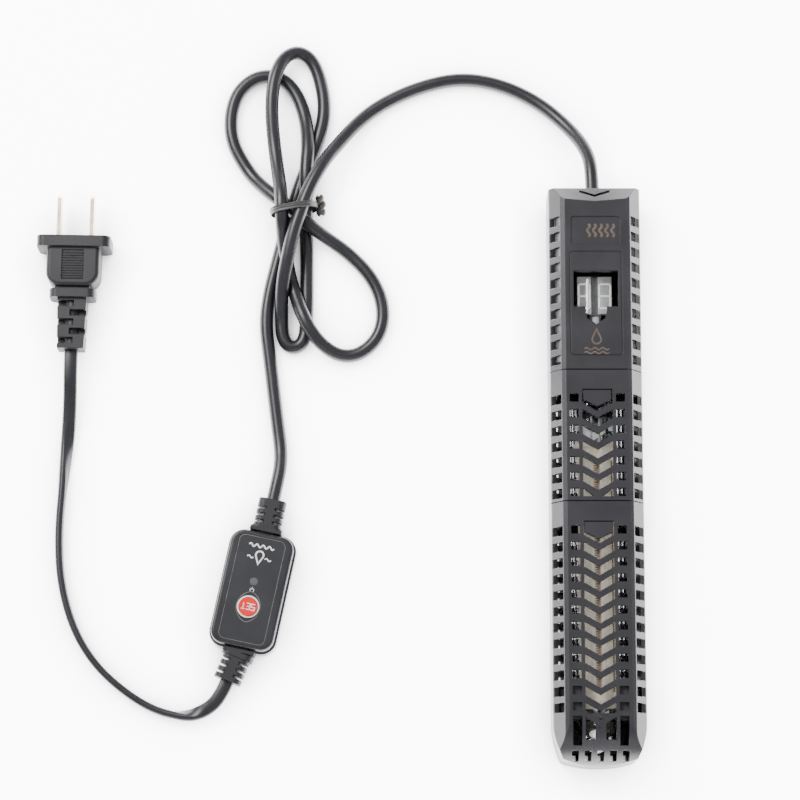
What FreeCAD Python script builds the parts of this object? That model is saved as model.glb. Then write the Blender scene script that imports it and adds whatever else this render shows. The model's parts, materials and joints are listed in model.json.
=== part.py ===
"""Submersible aquarium heater: a glass heater tube in a three-piece snap-together guard, an inline
controller with a SET button, a tied hank of cord and a two-pin plug.

Frame: the heater lies on its back along Y with its nose towards -Y, the origin is under the middle
of the guard on the surface it lies on, and +Z is up. The controller, the hank and the plug lie at -X.
"""
import FreeCAD, Part
import math
import os

import Sketcher

Vector = FreeCAD.Vector
Rotation = FreeCAD.Rotation
Placement = FreeCAD.Placement
X_WAY, Y_WAY, Z_WAY = Vector(1, 0, 0), Vector(0, 1, 0), Vector(0, 0, 1)

os.makedirs("parts", exist_ok=True)
doc = FreeCAD.newDocument("AquariumHeater")

SIZES = {
    # Guard section, measured from the heater's axis
    "half_height": 16.0, "guard_half": 17.5, "panel_half": 11.7, "bevel_half": 13.2,
    "bevel_drop": 0.8, "flank_z": 9.0, "corner_r": 2.5, "wall": 2.0, "head_wall": 3.0, "fit": 0.15,
    # Lengths along the heater
    "head_seam": 38.5, "nose_seam": -11.7, "head_length": 71.5, "middle_length": 50.2,
    "nose_length": 98.3, "seam_gap": 0.35, "end_wall": 4.0, "spigot_length": 7.5, "spigot_wall": 1.4,
    "collar_length": 1.2,
    # Rows of openings
    "row_pitch": 6.0, "first_row": 9.5, "slot_tall": 3.7, "slot_long": 6.6, "flank_angle": 34.7,
    "flank_x": 15.35, "flank_mid_z": 12.1, "pocket_deep": 1.3, "square_in": 7.0, "square_out": 10.4,
    "square_tall": 3.1, "vee_half": 5.7, "vee_drop": 3.3, "vee_tall": 3.5, "rim": 1.5,
    "middle_rows": 7, "nose_rows": 12, "head_rows": 10, "head_first_row": 59.7,
    # Snap latches
    "latch_top": 7.75, "latch_side": 4.0, "latch_point": 2.9, "latch_half": 5.6, "latch_gap": 0.3,
    "latch_root": 1.2, "latch_plate": 1.4, "latch_clear": 0.25, "notch_half": 5.7, "latch_sunk": 0.3,
    # Head details
    "shoulder_side": 66.8, "shoulder_mid": 65.2, "shoulder_drop": 5.4, "mark_half": 5.8,
    "mark_out": 70.4, "mark_point": 68.3, "mark_wide": 1.1, "label_low": 48.1, "label_high": 59.3,
    "label_half": 9.3, "label_deep": 0.45, "label_r": 1.3, "frame_low": 5.1, "frame_high": 45.7,
    "frame_half": 10.0, "frame_r": 1.6, "frame_line": 0.45, "frame_deep": 0.25, "window_low": 24.1,
    "window_high": 38.0, "window_half": 8.45, "funnel_half": 4.2, "funnel_mid": 19.6,
    "funnel_low": 17.2, "funnel_waist": 3.5, "gland_r": 4.0, "socket_r": 4.1, "head_socket": 62.0,
    "nose_socket": 88.0,
    # Nose shape
    "plan_straight": 81.1, "plan_corner_x": 13.9, "plan_corner_y": 95.8, "plan_side_r": 31.8,
    "plan_end_r": 40.3, "dome_start": 82.3, "dome_r": 16.0, "heel_start": 92.3, "heel_r": 6.0,
    "cavity_full": 81.5, "cavity_mid": 92.3, "cavity_end": 95.8, "long_slot_end": 91.2,
    "end_slot_half": 1.3, "end_slot_pitch": 4.7, "end_slot_top": 92.9, "end_slot_low": 96.6,
    "inner_slot_in": 1.9, "inner_slot_end": 89.2, "rib": 2.0, "arrow_half": 0.9, "arrow_y": 84.6,
    "arrow_tall": 2.6, "arrow_deep": 0.5,
    # Heater tube and what is in it
    "tube_r": 10.0, "tube_wall": 1.2, "tube_top": 100.0, "tube_low": -91.0, "collar_bore": 10.15,
    "collar_thick": 4.0, "core_r": 6.9, "core_low": -86.0, "core_length": 96.0, "coil_r": 1.3,
    "groove_r": 1.6, "groove_at": 5.7, "disc_r": 8.4, "disc_thick": 1.6, "board_half": 7.0,
    "board_low": 20.0, "board_length": 60.0, "board_thick": 1.2, "display_half": 6.5,
    "display_low": 61.6, "display_length": 15.0, "display_tall": 4.8, "stopper_length": 9.0,
    "cradle_bore": 10.3, "cradle_gap": 6.6, "cradle_band": 2.0,
    # Controller
    "box_half": 12.15, "box_end": 22.1, "box_r": 5.0, "box_tall": 12.0, "base_tall": 5.8,
    "box_wall": 1.6, "cover_top": 1.8, "label_x": 9.0, "label_y": 20.3, "label_thick": 0.3,
    "sticker_r": 2.5, "button_y": -6.7, "button_r": 3.6, "bezel_bore": 3.68, "bezel_r": 4.25,
    "led_y": 3.1, "led_r": 1.55, "button_top": 13.0, "bezel_top": 12.5, "board_z": 3.6,
    "flange_z": 9.2, "base_flare": 0.8, "board_x": 9.6, "board_y": 17.5, "boot_height": 6.0,
    "boot_neck": 3.2, "boot_hole": 3.4, "boot_half": 5.25, "boot_half_z": 4.4, "boot_spine": 1.5,
    "boot_pitch": 2.6, "core_boot_r": 3.1, "screw_x": 8.2, "screw_y": 18.0,
    # Plug
    "plug_axis": 8.0, "flange_half": 14.2, "flange_length": 4.3, "plug_half": 10.25,
    "plug_tall": 13.0, "plug_length": 15.4, "plug_r": 5.5, "neck_half": 6.5, "neck_length": 0.8,
    "collar_half": 8.8, "collar_wide": 3.4, "relief_length": 19.9, "relief_half": 5.6,
    "blade_space": 12.7, "blade_thick": 1.5, "blade_wide": 6.3, "blade_out": 17.0, "blade_in": 9.0,
    # Cords
    "cord_r": 2.65, "mains_r": 2.0, "hank_tall": 11.5, "tie_wide": 2.2,
}

sheet = doc.addObject("Spreadsheet::Sheet", "Sizes")
for row, (alias, number) in enumerate(SIZES.items(), start=1):
    sheet.set("A%d" % row, alias)
    sheet.set("B%d" % row, str(number))
    sheet.setAlias("B%d" % row, alias)
doc.recompute()


# ---------------------------------------------------------------- formulas and sketches

def amount(formula):
    """Work out a sum of products such as 'wall + 2 * fit' from the sheet's numbers."""
    total = 0.0
    for term in str(formula).replace(" - ", " + -1 * ").split(" + "):
        product = 1.0
        for factor in term.split(" * "):
            product *= SIZES[factor] if factor in SIZES else float(factor)
        total += product
    return total


def cell(formula):
    """Write the same formula in the document's own terms."""
    return " ".join("Sizes." + word if word in SIZES else word for word in str(formula).split())


def minus(formula):
    """The formula with its sign changed."""
    swap = {"+": "-", "-": "+"}
    return "0 - " + " ".join(swap.get(word, word) for word in str(formula).split())


def mirrored(points):
    """A closed outline from its right half, listed from top to bottom."""
    return points + [(minus(x), y) for x, y in reversed(points)]


def plane(body, role):
    return [item for item in body.Origin.OriginFeatures if item.Role == role][0]


def new_body(label):
    body = doc.addObject("PartDesign::Body", label)
    body.Label = label
    return body


def sketch_on(body, role, name, raised="0"):
    """A sketch on one of the body's own origin planes, raised along the plane's normal."""
    sketch = body.newObject("Sketcher::SketchObject", name)
    sketch.AttachmentSupport = [(plane(body, role), "")]
    sketch.MapMode = "FlatFace"
    if raised != "0":
        sketch.AttachmentOffset = Placement(Vector(0, 0, amount(raised)), Rotation())
        sketch.setExpression("AttachmentOffset.Base.z", cell(raised))
    return sketch


def pin_point(sketch, geometry, vertex, x, y):
    """Fix one point of a sketch at its two formulas."""
    for kind, axis, formula in (("DistanceX", -2, x), ("DistanceY", -1, y)):
        value = amount(formula)
        if abs(value) < 1e-9:
            sketch.addConstraint(Sketcher.Constraint("PointOnObject", geometry, vertex, axis))
        else:
            number = sketch.addConstraint(
                Sketcher.Constraint(kind, -1, 1, geometry, vertex, value))
            sketch.setExpression("Constraints[%d]" % number, cell(formula))


def arc_between(start, end, radius, way):
    """An anticlockwise arc through two points; way is 1 if it bulges to the right of start to end."""
    chord = end - start
    bulge = Vector(chord.y, -chord.x, 0).normalize() * way
    centre = (start + end) * 0.5 - bulge * math.sqrt(radius ** 2 - (chord.Length / 2) ** 2)
    spokes = [point - centre for point in ((start, end) if way > 0 else (end, start))]
    angles = [math.atan2(spoke.y, spoke.x) for spoke in spokes]
    if angles[1] < angles[0]:
        angles[1] += 2 * math.pi
    return Part.ArcOfCircle(Part.Circle(centre, Z_WAY, radius), *angles)


def outline(sketch, points, arcs=None):
    """A closed outline through points. arcs maps a point's number to the radius of the edge after
    it and to the side that edge bulges to: 1 for the right of the way the outline runs, or -1."""
    arcs = arcs or {}
    first = sketch.GeometryCount
    corners = [Vector(amount(x), amount(y), 0) for x, y in points]
    ends = []
    for number, (start, end) in enumerate(zip(corners, corners[1:] + corners[:1])):
        radius, way = arcs.get(number, ("0", 1))
        if number in arcs:
            sketch.addGeometry(arc_between(start, end, amount(radius), way), False)
        else:
            sketch.addGeometry(Part.LineSegment(start, end), False)
        ends.append((1, 2) if way > 0 else (2, 1))
    for number, (x, y) in enumerate(points):
        before = (number - 1) % len(points)
        sketch.addConstraint(Sketcher.Constraint(
            "Coincident", first + before, ends[before][1], first + number, ends[number][0]))
        pin_point(sketch, first + number, ends[number][0], x, y)
    for number, (radius, way) in arcs.items():
        index = sketch.addConstraint(
            Sketcher.Constraint("Radius", first + number, amount(radius)))
        sketch.setExpression("Constraints[%d]" % index, cell(radius))


def box_outline(sketch, left, right, low, high):
    outline(sketch, [(right, high), (right, low), (left, low), (left, high)])


def rounded_outline(sketch, half, low, high, radius):
    """A box outline centred across X, with rounded corners."""
    side, head = half + " + " + minus(radius), high + " + " + minus(radius)
    foot = low + " + " + radius
    outline(sketch, [(half, head), (half, foot), (side, low), (minus(side), low),
                     (minus(half), foot), (minus(half), head), (minus(side), high), (side, high)],
            {number: (radius, -1) for number in (1, 3, 5, 7)})


def circle(sketch, x, y, radius):
    index = sketch.addGeometry(
        Part.Circle(Vector(amount(x), amount(y), 0), Z_WAY, amount(radius)), False)
    pin_point(sketch, index, 3, x, y)
    number = sketch.addConstraint(Sketcher.Constraint("Radius", index, amount(radius)))
    sketch.setExpression("Constraints[%d]" % number, cell(radius))


def pad(body, sketch, length, reverse=False):
    feature = body.newObject("PartDesign::Pad", sketch.Name + "Pad")
    feature.Profile = sketch
    feature.setExpression("Length", cell(length))
    feature.Reversed = reverse
    body.Tip = feature
    return feature


def pocket(body, sketch, length=None, reverse=False, both=False):
    feature = body.newObject("PartDesign::Pocket", sketch.Name + "Pocket")
    feature.Profile = sketch
    if length is None:
        feature.Type = "ThroughAll"
    else:
        feature.setExpression("Length", cell(length))
    feature.Reversed = reverse
    if both:
        feature.SideType = "Symmetric"
    body.Tip = feature
    return feature


def y_pattern(body, feature, pitch, count, reverse=False):
    """Repeat a feature along the body's Y axis."""
    pattern = body.newObject("PartDesign::LinearPattern", feature.Name + "Rows")
    pattern.Originals = [feature]
    pattern.Direction = (plane(body, "Y_Axis"), [""])
    pattern.Reversed = reverse
    pattern.Mode = "Spacing"
    pattern.setExpression("Offset", cell(pitch))
    pattern.setExpression("Occurrences", cell(count))
    body.Tip = pattern
    return pattern


def round_edges(body, base, radius, wanted):
    """Fillet the edges of a feature whose two ends pass the test."""
    doc.recompute()
    names = ["Edge%d" % number for number, edge in enumerate(base.Shape.Edges, start=1)
             if len(edge.Vertexes) == 2 and wanted(edge.Vertexes[0].Point, edge.Vertexes[1].Point)]
    feature = body.newObject("PartDesign::Fillet", base.Name + "Round")
    feature.Base = (base, names)
    feature.setExpression("Radius", cell(radius))
    body.Tip = feature
    return feature


def place(item, x="0", y="0", z="0", rotation=None):
    """Put a sub-part in the heater's frame, its position bound to the sheet."""
    item.Placement = Placement(Vector(amount(x), amount(y), amount(z)), rotation or Rotation())
    for axis, formula in (("x", x), ("y", y), ("z", z)):
        if str(formula) != "0":
            item.setExpression("Placement.Base." + axis, cell(formula))


# ---------------------------------------------------------------- primitives and booleans

ALONG_Y = Rotation(X_WAY, -90)


def cylinder(label, radius, length, x="0", y="0", z="0", rotation=ALONG_Y):
    item = doc.addObject("Part::Cylinder", label)
    item.setExpression("Radius", cell(radius))
    item.setExpression("Height", cell(length))
    place(item, x, y, z, rotation)
    return item


def block(label, size, low):
    """A box given its three sizes and its lowest corner."""
    item = doc.addObject("Part::Box", label)
    for side, formula in zip(("Length", "Width", "Height"), size):
        item.setExpression(side, cell(formula))
    place(item, *low)
    return item


def centred_block(label, wide, long, tall, y, z):
    """A box centred across X, from y along Y and from z upward."""
    return block(label, (wide, long, tall), ("0 - 0.5 * " + wide, y, z))


def cut(label, base, *tools):
    item = base
    for number, tool in enumerate(tools):
        last = number == len(tools) - 1
        step = doc.addObject("Part::Cut", label if last else "%s_step%d" % (label, number))
        step.Base = item
        step.Tool = tool
        item = step
    item.Label = label
    return item


def fuse(label, *pieces):
    item = doc.addObject("Part::MultiFuse", label)
    item.Shapes = list(pieces)
    item.Label = label
    return item


def group(label, *pieces):
    item = doc.addObject("Part::Compound", label)
    item.Links = list(pieces)
    item.Label = label
    return item


# ---------------------------------------------------------------- guard sections

def outer_section():
    upper = [("panel_half", "half_height"), ("bevel_half", "half_height - bevel_drop"),
             ("guard_half", "flank_z")]
    return mirrored(upper + [(x, minus(z)) for x, z in reversed(upper)])


def inner_section(*insets):
    """The guard's section moved inward by the thicknesses."""
    top_x = "bevel_half" + "".join(" - 0.8 * " + name for name in insets)
    top_z = "half_height" + "".join(" - " + name for name in insets)
    side_x = "guard_half" + "".join(" - " + name for name in insets)
    side_z = "flank_z" + "".join(" - 0.31 * " + name for name in insets)
    upper = [(top_x, top_z), (side_x, side_z)]
    return mirrored(upper + [(x, minus(z)) for x, z in reversed(upper)])


def lengthwise_at(x):
    """A test for the edges that run along Y at this distance to either side."""
    def wanted(start, end):
        lengthwise = abs(start.x - end.x) < 1e-4 and abs(start.z - end.z) < 1e-4
        return lengthwise and abs(abs(start.x) - x) < 1e-3
    return wanted


def flank_slots(body, first, count, depth):
    """Rows of slots in the four sloping flanks; first is the top edge of the first row."""
    angle = amount("flank_angle")
    for name, turn, side, up in (("RightTop", -angle, 1, 1), ("LeftTop", angle - 180, -1, 1),
                                 ("RightBack", angle, 1, -1), ("LeftBack", 180 - angle, -1, -1)):
        sketch = body.newObject("Sketcher::SketchObject", body.Name + "Flank" + name)
        sketch.AttachmentSupport = [(plane(body, "YZ_Plane"), "")]
        sketch.MapMode = "FlatFace"
        corner = Vector(0, up * amount("flank_mid_z"), side * amount("flank_x"))
        sketch.AttachmentOffset = Placement(corner, Rotation(X_WAY, turn))
        sketch.setExpression("AttachmentOffset.Base.y", cell("%d * flank_mid_z" % up))
        sketch.setExpression("AttachmentOffset.Base.z", cell("%d * flank_x" % side))
        box_outline(sketch, first + " - slot_tall", first, "0 - 0.5 * slot_long",
                    "0.5 * slot_long")
        y_pattern(body, pocket(body, sketch, depth), "row_pitch", count, reverse=True)


def vee(sketch, top, half="vee_half", drop="vee_drop", tall="vee_tall"):
    """A downward chevron whose outer ends start at top."""
    outline(sketch, [(half, top), (half, top + " - " + tall),
                     ("0", top + " - " + tall + " - " + drop),
                     (minus(half), top + " - " + tall), (minus(half), top),
                     ("0", top + " - " + drop)])


def square_pair(sketch, top):
    for left, right in (("square_in", "square_out"), ("0 - square_out", "0 - square_in")):
        box_outline(sketch, left, right, top + " - square_tall", top)


def open_rows(body, name, top, count):
    """Rows of square holes and chevrons through the front panel and the back."""
    sketch = sketch_on(body, "XY_Plane", body.Name + name)
    square_pair(sketch, top)
    vee(sketch, top)
    y_pattern(body, pocket(body, sketch, None, both=True), "row_pitch", count, reverse=True)


def latch_window(body):
    """The five-sided window that a snap latch clicks into."""
    sketch = sketch_on(body, "XY_Plane", body.Name + "Window")
    outline(sketch, five_sided("0"))
    pocket(body, sketch, None, reverse=True)


def five_sided(inset):
    top, side, point = "0 - latch_top", "0 - latch_top - latch_side", "latch_point"
    half = "latch_half - " + inset
    return [(half, top + " - " + inset), (half, side), ("0", side + " - " + point + " + " + inset),
            (minus(half), side), (minus(half), top + " - " + inset)]


def spigot(body, seam, *insets):
    """The stepped ring that enters the next section, with a notch for its latch."""
    ring = sketch_on(body, "XZ_Plane", body.Name + "Spigot", seam)
    outline(ring, inner_section("wall", "fit"))
    outline(ring, inner_section("wall", "fit", "spigot_wall"))
    pad(body, ring, "spigot_length")
    notch = sketch_on(body, "XY_Plane", body.Name + "Notch")
    box_outline(notch, "0 - notch_half", "notch_half",
                minus(seam) + " - spigot_length - 1", minus(seam) + " - 0.2")
    pocket(body, notch, None, reverse=True)


def build_head():
    body = new_body("guard_head")
    shell = sketch_on(body, "XZ_Plane", "HeadSection")
    outline(shell, outer_section())
    solid = pad(body, shell, "head_length", reverse=True)
    round_edges(body, solid, "corner_r", lengthwise_at(amount("guard_half")))
    cavity = sketch_on(body, "XZ_Plane", "HeadCavity")
    outline(cavity, inner_section("head_wall"))
    pocket(body, cavity, "head_length - end_wall")
    spigot(body, "0")

    # The shoulder slopes down to the cord end, deeper in the middle than at the sides
    shoulder = []
    for number, (x, start) in enumerate((("0 - guard_half - 1", "shoulder_side"),
                                         ("0", "shoulder_mid"),
                                         ("guard_half + 1", "shoulder_side"))):
        slope = sketch_on(body, "YZ_Plane", "Shoulder%d" % number, x)
        outline(slope, [(start, "half_height"), (start, "half_height + 1"),
                        ("head_length + 1", "half_height + 1"),
                        ("head_length + 1", "half_height - shoulder_drop")])
        shoulder.append(slope)
    loft = body.newObject("PartDesign::SubtractiveLoft", "ShoulderCut")
    loft.Profile = shoulder[0]
    loft.Sections = shoulder[1:]
    loft.Ruled = True
    body.Tip = loft

    mark = sketch_on(body, "XY_Plane", "VeeMark", "half_height - 4.4")
    outline(mark, [("mark_half", "mark_out"), ("mark_half", "mark_out - mark_wide"),
                   ("0", "mark_point - mark_wide"), ("0 - mark_half", "mark_out - mark_wide"),
                   ("0 - mark_half", "mark_out"), ("0", "mark_point")])
    pocket(body, mark, "6", reverse=True)

    label = sketch_on(body, "XY_Plane", "LabelRecess", "half_height")
    box_outline(label, "0 - label_half", "label_half", "label_low", "label_high")
    recess = pocket(body, label, "label_deep")
    half = amount("label_half")
    round_edges(body, recess, "label_r", lambda start, end: abs(start.z - end.z) > 0.1
                and abs(abs(start.x) - half) < 1e-3 and abs(start.x - end.x) < 1e-3)

    frame = sketch_on(body, "XY_Plane", "FrameLine", "half_height")
    rounded_outline(frame, "frame_half", "frame_low", "frame_high", "frame_r")
    rounded_outline(frame, "frame_half - frame_line", "frame_low + frame_line",
                    "frame_high - frame_line", "frame_r - frame_line")
    pocket(body, frame, "frame_deep")

    window = sketch_on(body, "XY_Plane", "DisplayWindow", "half_height")
    right = [("window_half", "window_high"), ("window_half", "window_low"),
             ("funnel_half", "window_low"), ("funnel_waist", "funnel_mid")]
    left = [("0 - funnel_waist", "funnel_mid"), ("0 - funnel_half", "window_low"),
            ("0 - window_half", "window_low"), ("0 - window_half", "window_high")]
    outline(window, right + [("0", "funnel_low")] + left)
    pocket(body, window, "head_wall + 1")

    flank_slots(body, "head_first_row", "head_rows", "pocket_deep")
    bore = sketch_on(body, "XZ_Plane", "GlandBore")
    circle(bore, "0", "0", "gland_r")
    pocket(body, bore)
    socket = sketch_on(body, "XY_Plane", "HeadSocket")
    circle(socket, "0", "head_socket", "socket_r")
    pocket(body, socket)
    place(body, "0", "head_seam", "half_height")


def build_middle():
    body = new_body("guard_middle")
    shell = sketch_on(body, "XZ_Plane", "MiddleSection", "seam_gap")
    outline(shell, outer_section())
    outline(shell, inner_section("wall"))
    solid = pad(body, shell, "middle_length - seam_gap")
    round_edges(body, solid, "corner_r", lengthwise_at(amount("guard_half")))
    collar = sketch_on(body, "XZ_Plane", "MiddleCollar", "middle_length - collar_length")
    outline(collar, inner_section("1.4"))
    outline(collar, inner_section("wall", "fit", "spigot_wall"))
    pad(body, collar, "collar_length")
    spigot(body, "middle_length")
    latch_window(body)
    open_rows(body, "Row", "0 - first_row", "middle_rows - 1")

    # The last row is cut short by the rim, which leaves two triangles of its chevron
    last = sketch_on(body, "XY_Plane", "MiddleLastRow")
    top = "0 - first_row - 6 * row_pitch"
    square_pair(last, top)
    low = "rim - middle_length"
    for side in (1, -1):
        flip = (lambda x: x) if side > 0 else minus
        outline(last, [(flip("vee_half"), top), (flip("vee_half"), low), (flip("1.6"), low)])
    pocket(body, last, None, both=True)
    flank_slots(body, "0 - first_row", "middle_rows", "5")
    place(body, "0", "head_seam", "half_height")


def build_nose():
    body = new_body("nose_mould")
    shell = sketch_on(body, "XZ_Plane", "NoseSection", "seam_gap")
    outline(shell, outer_section())
    solid = pad(body, shell, "nose_length - seam_gap")
    round_edges(body, solid, "corner_r", lengthwise_at(amount("guard_half")))

    # Side outline: the front panel curves down into a dome and the back into a small heel
    side = sketch_on(body, "YZ_Plane", "NoseSide")
    box_outline(side, "0 - nose_length - 2", "1", "0 - half_height - 2", "half_height + 2")
    outline(side, [("0.5", "half_height"), ("0 - dome_start", "half_height"),
                   ("0 - nose_length", "0"), ("0 - nose_length", "heel_r - half_height"),
                   ("0 - heel_start", "0 - half_height"), ("0.5", "0 - half_height")],
            {1: ("dome_r", 1), 3: ("heel_r", 1)})
    pocket(body, side, None, both=True)

    cavity = sketch_on(body, "XZ_Plane", "NoseCavity")
    outline(cavity, inner_section("wall"))
    pocket(body, cavity, "cavity_full", reverse=True)
    taper = []
    for number, (y, half, high, low) in enumerate((
            ("cavity_full", "guard_half - wall", "half_height - wall", "half_height - wall"),
            ("cavity_mid", "13.2", "9.9", "13.8"), ("cavity_end", "11.3", "5.6", "9.5"))):
        step = sketch_on(body, "XZ_Plane", "NoseTaper%d" % number, y)
        shy = "4" if number == 0 else "3.4"
        outline(step, [(half + " - " + shy, high), (half, high + " - 5.2"),
                       (half, minus(low) + " + 5.2"), (half + " - " + shy, minus(low)),
                       (minus(half) + " + " + shy, minus(low)),
                       (minus(half), minus(low) + " + 5.2"), (minus(half), high + " - 5.2"),
                       (minus(half) + " + " + shy, high)])
        taper.append(step)
    loft = body.newObject("PartDesign::SubtractiveLoft", "NoseTaper")
    loft.Profile = taper[0]
    loft.Sections = taper[1:]
    loft.Ruled = True
    body.Tip = loft

    latch_window(body)
    open_rows(body, "Row", "0 - first_row", "nose_rows")
    flank_slots(body, "0 - first_row", "nose_rows", "5")

    # Long slots down the dome, a pair under the last chevron, and a row of small end openings
    last = "0 - first_row - 11 * row_pitch"
    front = sketch_on(body, "XY_Plane", "NoseSlots")
    for side in (1, -1):
        flip = (lambda x: x) if side > 0 else minus
        outline(front, [(flip("square_in"), last + " - square_tall - rib"),
                        (flip("square_out"), last + " - square_tall - rib"),
                        (flip("square_out"), "0 - long_slot_end"),
                        (flip("square_in"), "0 - long_slot_end")])
        outline(front, [(flip("vee_half"), last + " - vee_tall - rib"),
                        (flip("vee_half"), "0 - inner_slot_end"),
                        (flip("inner_slot_in"), "0 - inner_slot_end"),
                        (flip("inner_slot_in"), last + " - vee_tall - rib - 0.67 * vee_drop")])
    pocket(body, front, None, reverse=True)
    ends = sketch_on(body, "XY_Plane", "NoseEndSlots")
    for number in range(-2, 3):
        middle = "%d * end_slot_pitch" % number
        box_outline(ends, middle + " - end_slot_half", middle + " + end_slot_half",
                    "0 - end_slot_low", "0 - end_slot_top")
    pocket(body, ends, None, both=True)
    socket = sketch_on(body, "XY_Plane", "NoseSocket")
    circle(socket, "0", "0 - nose_socket", "socket_r")
    pocket(body, socket)
    arrow = sketch_on(body, "XY_Plane", "NoseArrow", "half_height - arrow_deep")
    outline(arrow, [("arrow_half", "0 - arrow_y"), ("0", "0 - arrow_y - arrow_tall"),
                    ("0 - arrow_half", "0 - arrow_y")])
    pocket(body, arrow, "arrow_deep + 1", reverse=True)

    # Plan outline: an arc in to each corner and a shallow arc across the tip
    trim = new_body("nose_trim")
    plan = sketch_on(trim, "XY_Plane", "NosePlan", "0 - 2 * half_height")
    outline(plan, [("guard_half + 1", "0 - plan_straight"),
                   ("guard_half + 0.05", "0 - plan_straight"),
                   ("plan_corner_x", "0 - plan_corner_y"), ("0 - plan_corner_x", "0 - plan_corner_y"),
                   ("0 - guard_half - 0.05", "0 - plan_straight"),
                   ("0 - guard_half - 1", "0 - plan_straight"),
                   ("0 - guard_half - 1", "0 - nose_length - 1"),
                   ("guard_half + 1", "0 - nose_length - 1")],
            {1: ("plan_side_r", -1), 2: ("plan_end_r", -1), 3: ("plan_side_r", -1)})
    pad(trim, plan, "4 * half_height")
    place(cut("guard_nose", body, trim), "0", "nose_seam", "half_height")


def build_latch(label, seam):
    """A snap latch: a springy stem from the spigot with a five-sided boss at its free end."""
    body = new_body(label)
    plate_z = "half_height - wall - latch_clear - latch_plate"
    stem = sketch_on(body, "XY_Plane", label + "_stem", plate_z)
    boss_points = five_sided("latch_gap")
    outline(stem, [("latch_half - latch_gap", "0 - latch_root")] + boss_points[1:4]
            + [("latch_gap - latch_half", "0 - latch_root")])
    pad(body, stem, "latch_plate")
    bead = sketch_on(body, "YZ_Plane", label + "_root", "latch_gap - latch_half")
    circle(bead, "0 - latch_root", plate_z + " + 0.5 * latch_plate", "0.5 * latch_plate")
    pad(body, bead, "2 * latch_half - 2 * latch_gap")
    boss = sketch_on(body, "XY_Plane", label + "_boss", plate_z)
    outline(boss, boss_points)
    pad(body, boss, "latch_plate + latch_clear + wall - latch_sunk")
    place(body, "0", seam, "half_height")


# ---------------------------------------------------------------- heater tube and its contents

def build_tube():
    outside = fuse("TubeOutside",
                   cylinder("TubeOuter", "tube_r", "tube_top - tube_low", "0", "tube_low",
                            "half_height"),
                   ball("TubeDome", "tube_r", "tube_low"))
    inside = fuse("TubeInside",
                  cylinder("TubeInner", "tube_r - tube_wall", "tube_top - tube_low + 1", "0",
                           "tube_low", "half_height"),
                  ball("TubeDomeInner", "tube_r - tube_wall", "tube_low"))
    cut("glass_tube", outside, inside)


def ball(label, radius, y):
    item = doc.addObject("Part::Sphere", label)
    item.setExpression("Radius", cell(radius))
    place(item, "0", y, "half_height")
    return item


def build_core():
    body = new_body("ceramic_core")
    round_bar = sketch_on(body, "XZ_Plane", "CoreCircle")
    circle(round_bar, "0", "0", "core_r")
    pad(body, round_bar, "core_length", reverse=True)
    groove = sketch_on(body, "XZ_Plane", "CoreGroove")
    circle(groove, "0", "groove_at", "groove_r")
    first = pocket(body, groove)
    ring = body.newObject("PartDesign::PolarPattern", "CoreGrooves")
    ring.Originals = [first]
    ring.Axis = (plane(body, "Y_Axis"), [""])
    ring.Angle = 360
    ring.Occurrences = 6
    body.Tip = ring
    place(body, "0", "core_low", "half_height")

    coils = []
    for number in range(6):
        turn = math.radians(60 * number)
        x = "%.6f * groove_at" % math.sin(turn)
        z = "half_height + %.6f * groove_at" % math.cos(turn)
        coils.append(cylinder("Coil%d" % number, "coil_r", "core_length - 4", x, "core_low + 2", z))
    group("heating_coils", *coils)

    for label, y in (("insulating_disc_lower", "core_low - disc_thick"),
                     ("insulating_disc_upper", "core_low + core_length")):
        body = new_body(label)
        disc = sketch_on(body, "XZ_Plane", label + "_face")
        circle(disc, "0", "0", "disc_r")
        for side in ("1.5", "-1.5"):
            circle(disc, side, "1.1", "0.6")
        pad(body, disc, "disc_thick", reverse=True)
        place(body, "0", y, "half_height")


def build_electronics():
    board_z = "half_height - 0.5 * board_thick"
    centred_block("circuit_board", "2 * board_half", "board_length", "board_thick", "board_low",
                  board_z)
    top = "half_height + 0.5 * board_thick"
    block("display_module", ("2 * display_half", "display_length", "display_tall"),
          ("0 - display_half", "display_low", top))
    cylinder("indicator_led", "1.2", "4.6", "0.4", "56.2", "half_height + 4.2")
    block("triac", ("7", "10", "3"), ("-3.5", "24", top))
    block("relay", ("9", "13", "5"), ("-4.5", "38", top))
    cylinder("capacitor", "3", "11", "0", "58", "half_height - 4.2")
    cylinder("temperature_sensor", "1.4", "6", "0", "27", "half_height - 6")
    cylinder("thermal_fuse", "1.6", "8", "0", "38", "half_height - 3.2")
    wires = [cylinder("Lead%d" % number, "0.4", "board_low - core_low - core_length + 3", x,
                      "core_low + core_length", "half_height + 0.5 * board_thick + 0.5")
             for number, x in enumerate(("1.5", "-1.5"))]
    group("lead_wires", *wires)


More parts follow.
